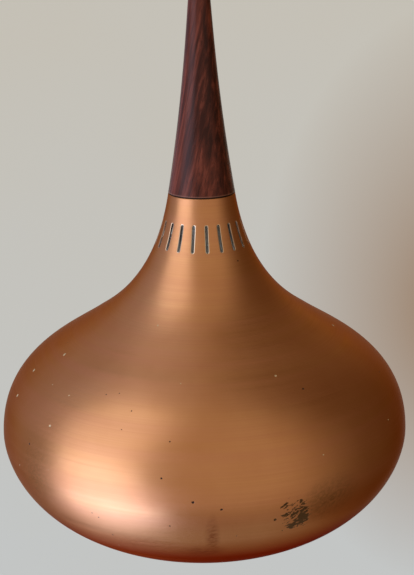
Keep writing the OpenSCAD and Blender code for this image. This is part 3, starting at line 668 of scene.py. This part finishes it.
def rosewoodFinish():
    material, tree, shader, place = startMaterial("rosewood")
    grainPlace = stretched(tree, place, (1, 1, rosewood["long"]), (0, -radians(rosewood["lean"]), 0))
    wander = noise(tree, stretched(tree, place, (1, 1, 0.25)), rosewood["wander"], 2.0)
    figure = noise(tree, grainPlace, rosewood["figure"], 5.0, 0.62, 0.35)
    rings = maths(tree, "ADD", figure, spread(tree, wander, 0.3, 0.7, (-0.12, 0.12)))
    pores = noise(tree, grainPlace, rosewood["pores"], 2.0, 0.6)
    colour = mixColour(tree, spread(tree, rings, 0.36, 0.64), rosewood["dark"], rosewood["heart"])
    colour = mixColour(tree, spread(tree, figure, 0.55, 0.72, (0, 0.7)), colour, rosewood["red"])
    pore = spread(tree, pores, 0.58, 0.66, (0, 0.75))
    colour = mixColour(tree, pore, colour, rosewood["dark"])
    up = maths(tree, "SUBTRACT", parts(tree, place)[2], jointZ)
    # a lighter band above the foot: a rubbed edge, and a painted reflection of the copper below
    rubbedAndGlintFrom, rubbedAndGlintTo = (v * mm for v in rosewood["rubbedAndGlintUp"])
    colour = mixColour(tree, spread(tree, up, rubbedAndGlintFrom, rubbedAndGlintTo, (0, 0.35)), colour, rosewood["worn"])
    # painted shadow in the gap where the foot meets the shade
    colour = mixColour(tree, spread(tree, up, *(v * mm for v in rosewood["gapShadowUp"])), colour, rosewood["gap"])
    setShader(shader, tree, Base_Color=colour, Specular_IOR_Level=0.24,
              Roughness=spread(tree, maths(tree, "ADD", figure, pore), 0.3, 1.3, rosewood["rough"]),
              Normal=bumped(tree, maths(tree, "SUBTRACT", figure, pore), 0.00008, 0.5))
    return material


rosewoodNeck = makeNeck()
print("neck", tuple(round(v, 4) for v in rosewoodNeck.dimensions))


# porcelain skirt of the lamp holder, by radius and drop in millimetres
holder = dict(
    insertR=16.9, boreR=18.5, fitR=18.45, skirtR=20.5, lipR=15.25,
    spigot=28.3, skirt=32.3, shell=38.3, foot=65.7, lip=1.6, chamfer=1.0, rounding=0.35, steps=128,
)
glaze = dict(
    colour=(0.80, 0.78, 0.72), shade=(0.66, 0.63, 0.56), speck=(0.30, 0.25, 0.18), rough=(0.10, 0.22),
    coat=0.4, coatRough=0.08, cloud=60.0, ripple=220.0, specks=1500.0,
)


def porcelainFinish():
    material, tree, shader, place = startMaterial("glazed porcelain")
    cloud = noise(tree, place, glaze["cloud"], 4.0, 0.55)
    ripple = noise(tree, place, glaze["ripple"], 2.0)
    speck = spread(tree, noise(tree, place, glaze["specks"], 2.0), 0.70, 0.76, (0, 0.6))
    colour = mixColour(tree, spread(tree, cloud, 0.4, 0.75, (0, 0.6)), glaze["colour"], glaze["shade"])
    colour = mixColour(tree, speck, colour, glaze["speck"])
    setShader(shader, tree, Base_Color=colour, Roughness=spread(tree, cloud, 0.3, 0.7, glaze["rough"]),
              Coat_Weight=glaze["coat"], Coat_Roughness=glaze["coatRough"],
              Normal=bumped(tree, ripple, 0.0001, 0.3))
    return material


def makeSkirt(material):
    h = holder
    top, foot, inFoot = h["spigot"], h["foot"], h["foot"] - h["lip"]
    bm = turned([(h["insertR"], top), (h["fitR"], top), (h["fitR"], h["skirt"]), (h["skirtR"], h["skirt"]),
                 (h["skirtR"], foot - h["chamfer"]), (h["skirtR"] - h["chamfer"], foot), (h["lipR"], foot),
                 (h["lipR"], inFoot), (h["boreR"], inFoot), (h["boreR"], h["shell"]),
                 (h["insertR"], h["shell"])], h["steps"], closed=True)
    roundEdges(bm, h["rounding"], over=40)
    return finishPiece("porcelain_skirt", bm, [material], "root", "porcelain", "holder_skirt")


spring = dict(wireR=0.2, turns=4, perTurn=28, sides=12, press=1.0)


# a coiled wire spring to the size of the CAD one, at its rest length; the real one shortens as the centre
# contact is pressed in
def makeSpring(material):
    s = spring
    low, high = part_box("contact_spring")
    wireR, tall = s["wireR"] * mm, high.z - low.z
    coilR = (high.x - low.x) / 2 - wireR
    steps = s["turns"] * s["perTurn"]
    bm = bmesh.new()
    start = Matrix.Translation((coilR, 0, low.z + wireR)) @ Matrix.Rotation(pi / 2, 4, "X")
    bmesh.ops.create_circle(bm, segments=s["sides"], radius=wireR, matrix=start)
    bmesh.ops.spin(bm, geom=bm.edges[:], cent=(0, 0, 0), axis=(0, 0, 1), angle=2 * pi * s["turns"],
                   steps=steps, dvec=(0, 0, (tall - 2 * wireR) / steps))
    bmesh.ops.holes_fill(bm, edges=[e for e in bm.edges if e.is_boundary], sides=0)
    bmesh.ops.recalc_face_normals(bm, faces=bm.faces)
    piece = finishPiece("coiled_spring", bm, [material], "root", "spring_steel", "contact_spring",
                        sharpOver=50)
    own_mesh(piece)
    return piece


# bulb: a round thread on its cap, the one that the holder's shell takes, whose centre winds round the axis
thread = dict(pitch=3.629, shift=0.45, perTurn=20, sides=96)
bulbCap = dict(
    threadR=12.7, top=47.0, threadFoot=65.0, foot=67.5, rimR=13.25, holeR=9.6, boreR=11.85, wall=0.4,
)
glass = dict(
    neckR=11.75, neckTop=53.0, neckFoot=67.6, neckLean=16.0, neckSteps=20,
    ballR=30.0, ball=117.0, ballStart=38, ballStep=3, pull=(0.35, 0.35), wall=0.8, steps=128,
    tint=(0.98, 0.99, 0.98), wave=45.0, dust=300.0,
)
stem = dict(
    flareR=10.85, top=53.0, flareFoot=53.8, mid=(5.0, 61.0), lean=-30, pull=(0.4, 0.4), flareSteps=8,
    r=3.5, flareEnd=67.0, foot=101.0, rounding=0.6, steps=64,
)
filament = dict(arcR=11.0, drop=115.0, gap=70.0, coilR=0.30, wireR=0.05, turns=110, perTurn=10)


def wound(outline, radius):
    bm = turned(outline, thread["sides"], closed=True)
    for vert in bm.verts:
        if abs(hypot(vert.co.x, vert.co.y) - radius * mm) < 1e-6:
            wind = 2 * pi * vert.co.z / (thread["pitch"] * mm)
            vert.co += Vector((cos(wind), sin(wind), 0)) * thread["shift"] * mm
    return bm


def threadRows(radius, fromDrop, toDrop):
    count = round((toDrop - fromDrop) / thread["pitch"] * thread["perTurn"])
    return [(radius, fromDrop + (toDrop - fromDrop) * i / count) for i in range(count + 1)]


def makeBulbCap(material):
    c = bulbCap
    outline = [(c["holeR"], c["top"])] + threadRows(c["threadR"], c["top"], c["threadFoot"])
    outline += [(c["rimR"], c["threadFoot"]), (c["rimR"], c["foot"]), (c["boreR"], c["foot"]),
                (c["boreR"], c["top"] + c["wall"]), (c["holeR"], c["top"] + c["wall"])]
    return finishPiece("bulb_screw_cap", wound(outline, c["threadR"]), [material], "bulb",
                       "bulb_cap_metal", "bulb_cap", sharpOver=40)


# from the envelope's open neck to its pole, that many millimetres inside the glass's face
def glassOutline(t):
    g = glass
    start = radians(g["ballStart"])
    meeting = (g["ballR"] * cos(start), g["ball"] - g["ballR"] * sin(start))
    neckSide = sweep((g["neckR"], g["neckFoot"]), g["neckLean"], meeting, g["ballStart"],
                     g["pull"], g["neckSteps"])
    last = len(neckSide) - 1
    moved = []
    for i, p in enumerate(neckSide):
        along = (neckSide[min(i + 1, last)] - neckSide[max(i - 1, 0)]).normalized()
        moved.append(tuple(p - t * Vector((along.y, -along.x))))
    r = g["ballR"] - t
    turns = [radians(a) for a in range(g["ballStart"] - g["ballStep"], g["ballStep"] - 90, -g["ballStep"])]
    ball = [(r * cos(a), g["ball"] - r * sin(a)) for a in turns]
    return [(g["neckR"] - t, g["neckTop"]), *moved, *ball, (0, g["ball"] + r)]


def glassFinish():
    material, tree, shader, place = startMaterial("clear glass")
    wave = noise(tree, place, glass["wave"], 2.0)
    dust = noise(tree, place, glass["dust"], 4.0, 0.6)
    setShader(shader, tree, Base_Color=glass["tint"], Transmission_Weight=1.0, IOR=1.46,
              Roughness=spread(tree, dust, 0.5, 0.8, (0.0, 0.06)), Normal=bumped(tree, wave, 0.0001, 0.2))
    return material


def makeGlass(material):
    bm = turned(glassOutline(0) + glassOutline(glass["wall"])[::-1], glass["steps"], closed=True)
    return finishPiece("bulb_envelope", bm, [material], "bulb", "clear_glass", "bulb_glass", sharpOver=50)


def makeStem(material):
    s = stem
    flare = sweep(s["mid"], s["lean"], (s["r"], s["flareEnd"]), 0, s["pull"], s["flareSteps"])
    bm = turned([(0, s["top"]), (s["flareR"], s["top"]), (s["flareR"], s["flareFoot"]),
                 *(tuple(p) for p in flare), (s["r"], s["foot"] - s["rounding"]),
                 (s["r"] - s["rounding"], s["foot"]), (0, s["foot"])], s["steps"])
    return finishPiece("bulb_glass_stem", bm, [material], "bulb", "clear_glass", "bulb_stem", sharpOver=40)


def makeFilament(material):
    f = filament
    data = bpy.data.curves.new("bulb_coil", "CURVE")
    data.dimensions = "3D"
    data.bevel_depth = f["wireR"] * mm
    data.bevel_resolution = 1
    line = data.splines.new("POLY")
    count = f["turns"] * f["perTurn"]
    line.points.add(count)
    sweepTurn = 2 * pi - radians(f["gap"])
    for i, point in enumerate(line.points):
        turn = radians(f["gap"] / 2 - 90) + sweepTurn * i / count
        coil = 2 * pi * i / f["perTurn"]
        r = (f["arcR"] + f["coilR"] * cos(coil)) * mm
        point.co = (r * cos(turn), r * sin(turn), height(f["drop"]) + f["coilR"] * mm * sin(coil), 1)
    data.materials.append(material)
    piece = bpy.data.objects.new("bulb_coil", data)
    bpy.context.scene.collection.objects.link(piece)
    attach(piece, "bulb")
    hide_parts("bulb_filament")
    return piece


# metals and small mouldings of the CAD pieces: two colours each, and what the surface is like
finishes = {
    "gland_brass": dict(light=(0.78, 0.56, 0.25), dark=(0.45, 0.29, 0.11), rough=(0.22, 0.36), metal=1.0),
    "terminal_brass": dict(light=(0.80, 0.60, 0.28), dark=(0.50, 0.34, 0.14), rough=(0.25, 0.40), metal=1.0),
    "shell_brass": dict(light=(0.74, 0.55, 0.27), dark=(0.42, 0.28, 0.12), rough=(0.28, 0.45), metal=1.0),
    "screw_steel": dict(light=(0.60, 0.60, 0.61), dark=(0.34, 0.34, 0.36), rough=(0.25, 0.42), metal=1.0),
    "wood_screw": dict(light=(0.68, 0.56, 0.30), dark=(0.42, 0.32, 0.16), rough=(0.30, 0.45), metal=1.0),
    "washer_steel": dict(light=(0.62, 0.63, 0.65), dark=(0.38, 0.39, 0.41), rough=(0.30, 0.48), metal=1.0),
    "spring_steel": dict(light=(0.58, 0.59, 0.61), dark=(0.34, 0.35, 0.37), rough=(0.22, 0.35), metal=1.0),
    "zinc_tube": dict(light=(0.66, 0.66, 0.62), dark=(0.44, 0.43, 0.38), rough=(0.34, 0.52), metal=1.0),
    "zinc_plate": dict(light=(0.64, 0.65, 0.66), dark=(0.42, 0.43, 0.44), rough=(0.36, 0.55), metal=1.0),
    "tinned_tag": dict(light=(0.74, 0.74, 0.71), dark=(0.52, 0.52, 0.49), rough=(0.28, 0.44), metal=1.0),
    "solder": dict(light=(0.60, 0.61, 0.62), dark=(0.38, 0.38, 0.39), rough=(0.35, 0.55), metal=1.0),
    "bulb_cap_metal": dict(light=(0.76, 0.77, 0.77), dark=(0.52, 0.52, 0.52), rough=(0.24, 0.38), metal=1.0),
    "lead_wire": dict(light=(0.62, 0.60, 0.56), dark=(0.40, 0.37, 0.33), rough=(0.30, 0.45), metal=1.0),
    "tungsten": dict(light=(0.36, 0.35, 0.34), dark=(0.20, 0.19, 0.19), rough=(0.40, 0.55), metal=1.0),
    "nylon": dict(light=(0.76, 0.74, 0.66), dark=(0.62, 0.59, 0.50), rough=(0.38, 0.50), metal=0.0),
    "black_glass": dict(light=(0.02, 0.02, 0.026), dark=(0.008, 0.008, 0.01), rough=(0.06, 0.18), metal=0.0),
}
wear = dict(stain=150.0, scratch=900.0, grime=420.0)


def pieceFinish(name, look):
    material, tree, shader, place = startMaterial(name)
    stain = noise(tree, place, wear["stain"], 5.0, 0.6)
    scratch = noise(tree, stretched(tree, place, (1, 1, 9), (0.4, 0.7, 0)), wear["scratch"], 3.0)
    grime = spread(tree, noise(tree, place, wear["grime"], 3.0), 0.55, 0.75, (0, 0.5))
    colour = mixColour(tree, spread(tree, stain, 0.4, 0.7), look["light"], look["dark"])
    colour = mixColour(tree, grime, colour, look["dark"])
    rough = spread(tree, stain, 0.3, 0.7, look["rough"])
    rough = maths(tree, "ADD", rough, spread(tree, scratch, 0.3, 0.7, (-0.04, 0.04)))
    setShader(shader, tree, Base_Color=colour, Metallic=look["metal"], Roughness=rough,
              Normal=bumped(tree, scratch, 0.00003, 0.4))
    return material


slotFinish = {name: pieceFinish(name, look) for name, look in finishes.items()}
slotFinish["porcelain"] = porcelainFinish()
slotFinish["clear_glass"] = glassFinish()
slotFinish["copper"] = copperShade.data.materials[0]
slotFinish["rosewood"] = rosewoodNeck.data.materials[0]
for subpart in frame["record"]["subparts"]:
    for oneSlot in frame["nodes"][subpart["node"]].material_slots:
        oneSlot.material = slotFinish[subpart["material_slot"]]

makeSkirt(slotFinish["porcelain"])
makeSpring(slotFinish["spring_steel"])
makeBulbCap(slotFinish["bulb_cap_metal"])
makeGlass(slotFinish["clear_glass"])
makeStem(slotFinish["clear_glass"])
makeFilament(slotFinish["tungsten"])


# studio, in metres: a pale sweep of backdrop paper and four soft lamps on the left and below
studio = dict(
    floor=-3.90, wall=3.84, bend=1.00, half=2.16, front=-1.70, top=1.67, steps=12,
    high=(0.585, 0.555, 0.490), low=(0.575, 0.590, 0.585), ground=(0.53, 0.515, 0.475),
    between=(-2.45, -0.45), groundBetween=(-3.8, -2.9), cloud=1.3, beyond=(0.58, 0.57, 0.52),
    shown=0.9, inGloss=0.33,         # how much of the paper's own colour is seen, and mirrored
    shadow=(0.32, 0.195, 0.11), shadowPlace=(0.96, 3.84, -1.5), shadowReach=(0.75, 4.0, 1.15),
)
lamps = dict(
    key=dict(place=(-1.965, -1.228, -1.34), aim=(0, 0, -0.42), size=(2.60, 2.7), watts=14.5,
             colour=(0.83, 1.07, 1.70)),
    low=dict(place=(-1.10, -0.64, -1.64), aim=(0, 0, -0.50), size=(1.80, 1.10), watts=7.9,
             colour=(0.82, 1.16, 2.10)),
    fill=dict(place=(0.3, -0.7, -3.0), aim=(0, 0, -0.45), size=(1.6, 1.6), watts=15.0,
              colour=(1.0, 0.98, 0.94), inCopper=False),       # only for the pale inside and the bulb
    window=dict(place=(-2.21, -1.33, 0.45), aim=(0, 0, -0.2), size=(2.5, 6.8), watts=46.0,
                colour=(0.88, 1.0, 1.20), shape="RECTANGLE"),
)
# what the copper mirrors beyond the lamps, on its sides, above and below
surround = dict(
    left=(0.34, 0.32, 0.29), middle=(0.47, 0.41, 0.32), right=(0.120, 0.073, 0.035), above=(0.46, 0.41, 0.33),
    below=(0.16, 0.075, 0.035), backLeft=(0.34, 0.34, 0.43),
)


def sweepFinish():
    s = studio
    material, tree, shader, place = startMaterial("painted sweep")
    up = parts(tree, place)[2]
    uneven = spread(tree, noise(tree, place, s["cloud"], 2.0), 0.3, 0.7, (-0.08, 0.08))
    share = maths(tree, "ADD", spread(tree, up, *s["between"]), uneven, clamp=True)
    colour = mixColour(tree, share, s["low"], s["high"])
    colour = mixColour(tree, spread(tree, up, *s["groundBetween"]), s["ground"], colour)
    colour = mixColour(tree, nearPlace(tree, place, s["shadowPlace"], s["shadowReach"]), colour, s["shadow"])
    setShader(shader, tree, Base_Color=colour, Roughness=0.9, Specular_IOR_Level=0.1)
    rays = put(tree, "LightPath").outputs
    mirrored = maths(tree, "MULTIPLY", rays["Is Glossy Ray"], s["inGloss"])
    seen = maths(tree, "MAXIMUM", rays["Is Camera Ray"], mirrored)
    seen = maths(tree, "MAXIMUM", seen, rays["Is Transmission Ray"])
    share = maths(tree, "MULTIPLY", seen, s["shown"])
    paper = put(tree, "Emission", {"Color": colour, "Strength": 1.0}).outputs[0]
    mixed = put(tree, "MixShader", {0: share, 1: shader.outputs[0], 2: paper})
    out = next(n for n in tree.nodes if n.type == "OUTPUT_MATERIAL")
    tree.links.new(mixed.outputs[0], out.inputs[0])
    return material


def makeSweep():
    s = studio
    bm = bmesh.new()
    line = [(s["front"], s["floor"])]
    line += [(s["wall"] - s["bend"] + s["bend"] * sin(a), s["floor"] + s["bend"] * (1 - cos(a)))
             for a in (pi / 2 * i / s["steps"] for i in range(s["steps"] + 1))]
    line.append((s["wall"], s["top"]))
    verts = [bm.verts.new((-s["half"], y, z)) for y, z in line]
    edges = [bm.edges.new(pair) for pair in zip(verts, verts[1:])]
    made = bmesh.ops.extrude_edge_only(bm, edges=edges)["geom"]
    farSide = [v for v in made if isinstance(v, bmesh.types.BMVert)]
    bmesh.ops.translate(bm, vec=(2 * s["half"], 0, 0), verts=farSide)
    bmesh.ops.recalc_face_normals(bm, faces=bm.faces)
    mesh = bpy.data.meshes.new("sweep")
    bm.to_mesh(mesh)
    bm.free()
    mesh.shade_smooth()
    mesh.materials.append(sweepFinish())
    sweepPiece = bpy.data.objects.new("sweep", mesh)
    bpy.context.scene.collection.objects.link(sweepPiece)


def makeLamp(name, lamp):
    data = bpy.data.lights.new(name, "AREA")
    data.shape = lamp.get("shape", "ELLIPSE")
    data.size, data.size_y = lamp["size"]
    data.energy = lamp["watts"]
    data.color = lamp["colour"]
    light = bpy.data.objects.new(name, data)
    bpy.context.scene.collection.objects.link(light)
    light.location = lamp["place"]
    light.rotation_euler = (Vector(lamp["aim"]) - light.location).to_track_quat("-Z", "Y").to_euler()
    light.visible_camera = False
    light.visible_glossy = lamp.get("inCopper", True)


def makeSurround():
    world = bpy.data.worlds.new("studio")
    bpy.context.scene.world = world
    world.use_nodes = True
    tree = world.node_tree
    facing = put(tree, "TexCoord").outputs["Generated"]
    up = parts(tree, facing)[2]
    level = vectorMaths(tree, "NORMALIZE", vectorMaths(tree, "MULTIPLY", facing, (1, 1, 0))[0])[0]

    def facingTo(*way):
        return vectorMaths(tree, "DOT_PRODUCT", level, way)["Value"]

    tint = mixColour(tree, spread(tree, facingTo(1, 0, 0), -0.9, -0.2), surround["left"], surround["middle"])
    tint = mixColour(tree, spread(tree, up, 0.75, 1.0), tint, surround["above"])
    tint = mixColour(tree, spread(tree, facingTo(-0.82, 0.57, 0), 0.65, 1.0), tint, surround["backLeft"])
    tint = mixColour(tree, spread(tree, facingTo(1, 0.4, 0), 0.49, 1.04), tint, surround["right"])
    tint = mixColour(tree, spread(tree, up, -0.5, -0.88), tint, surround["below"])
    tint = mixColour(tree, put(tree, "LightPath").outputs["Is Camera Ray"], tint, studio["beyond"])
    tree.links.new(tint, tree.nodes["Background"].inputs[0])


makeSweep()
for name, lamp in lamps.items():
    makeLamp(name, lamp)
makeSurround()
bpy.context.scene.view_settings.view_transform = "Standard"
print("studio", len(lamps), "lamps")


# how far a place shows from its point in the photograph
def offset(place, point):
    return [round(v, 2) for v in inImage(place) - Vector(point)]


# the outline's outermost places in the picture, by the finished vertices
def edgeOffsets():
    graph = bpy.context.evaluated_depsgraph_get()
    seen = []
    for piece in (copperShade, rosewoodNeck):
        mesh = piece.evaluated_get(graph).to_mesh()
        seen += [inImage(v.co) for v in mesh.vertices]
    inPhoto = [p for p in seen if 0 <= p.y <= photo["height"]]
    return dict(left=[round(min(p.x for p in inPhoto) - imagePoints["left"], 2), 0],
                right=[round(max(p.x for p in inPhoto) - imagePoints["right"], 2), 0],
                bottom=[0, round(max(p.y for p in seen) - imagePoints["bottom"], 2)])


# the place on the neck's foot that shows furthest to one side
def neckFoot(sign):
    r, z = neck["footR"] * mm, height(-neck["chamfer"])
    rim = [Vector((r * cos(a), r * sin(a), z)) for a in map(radians, range(360))]
    return max(rim, key=lambda p: sign * inImage(p).x)


def writeChecks():
    found = edgeOffsets()
    for name, sign in (("neckFootLeft", -1), ("neckFootRight", 1)):
        found[name] = offset(neckFoot(sign), imagePoints[name])
    for name in (n for n in imagePoints if n.startswith("slot")):
        point = Vector(imagePoints[name])
        ends = slotEnds[0::2] if name.endswith("Top") else slotEnds[1::2]
        near = min((p for p in ends if p.y < 0), key=lambda p: (inImage(p) - point).length)
        found[name] = offset(near, point)
    for name in ("wornPatch", *chips):
        found[name] = offset(placeOn(shadeTree, *imagePoints[name]), imagePoints[name])
    print("points", found)


writeChecks()
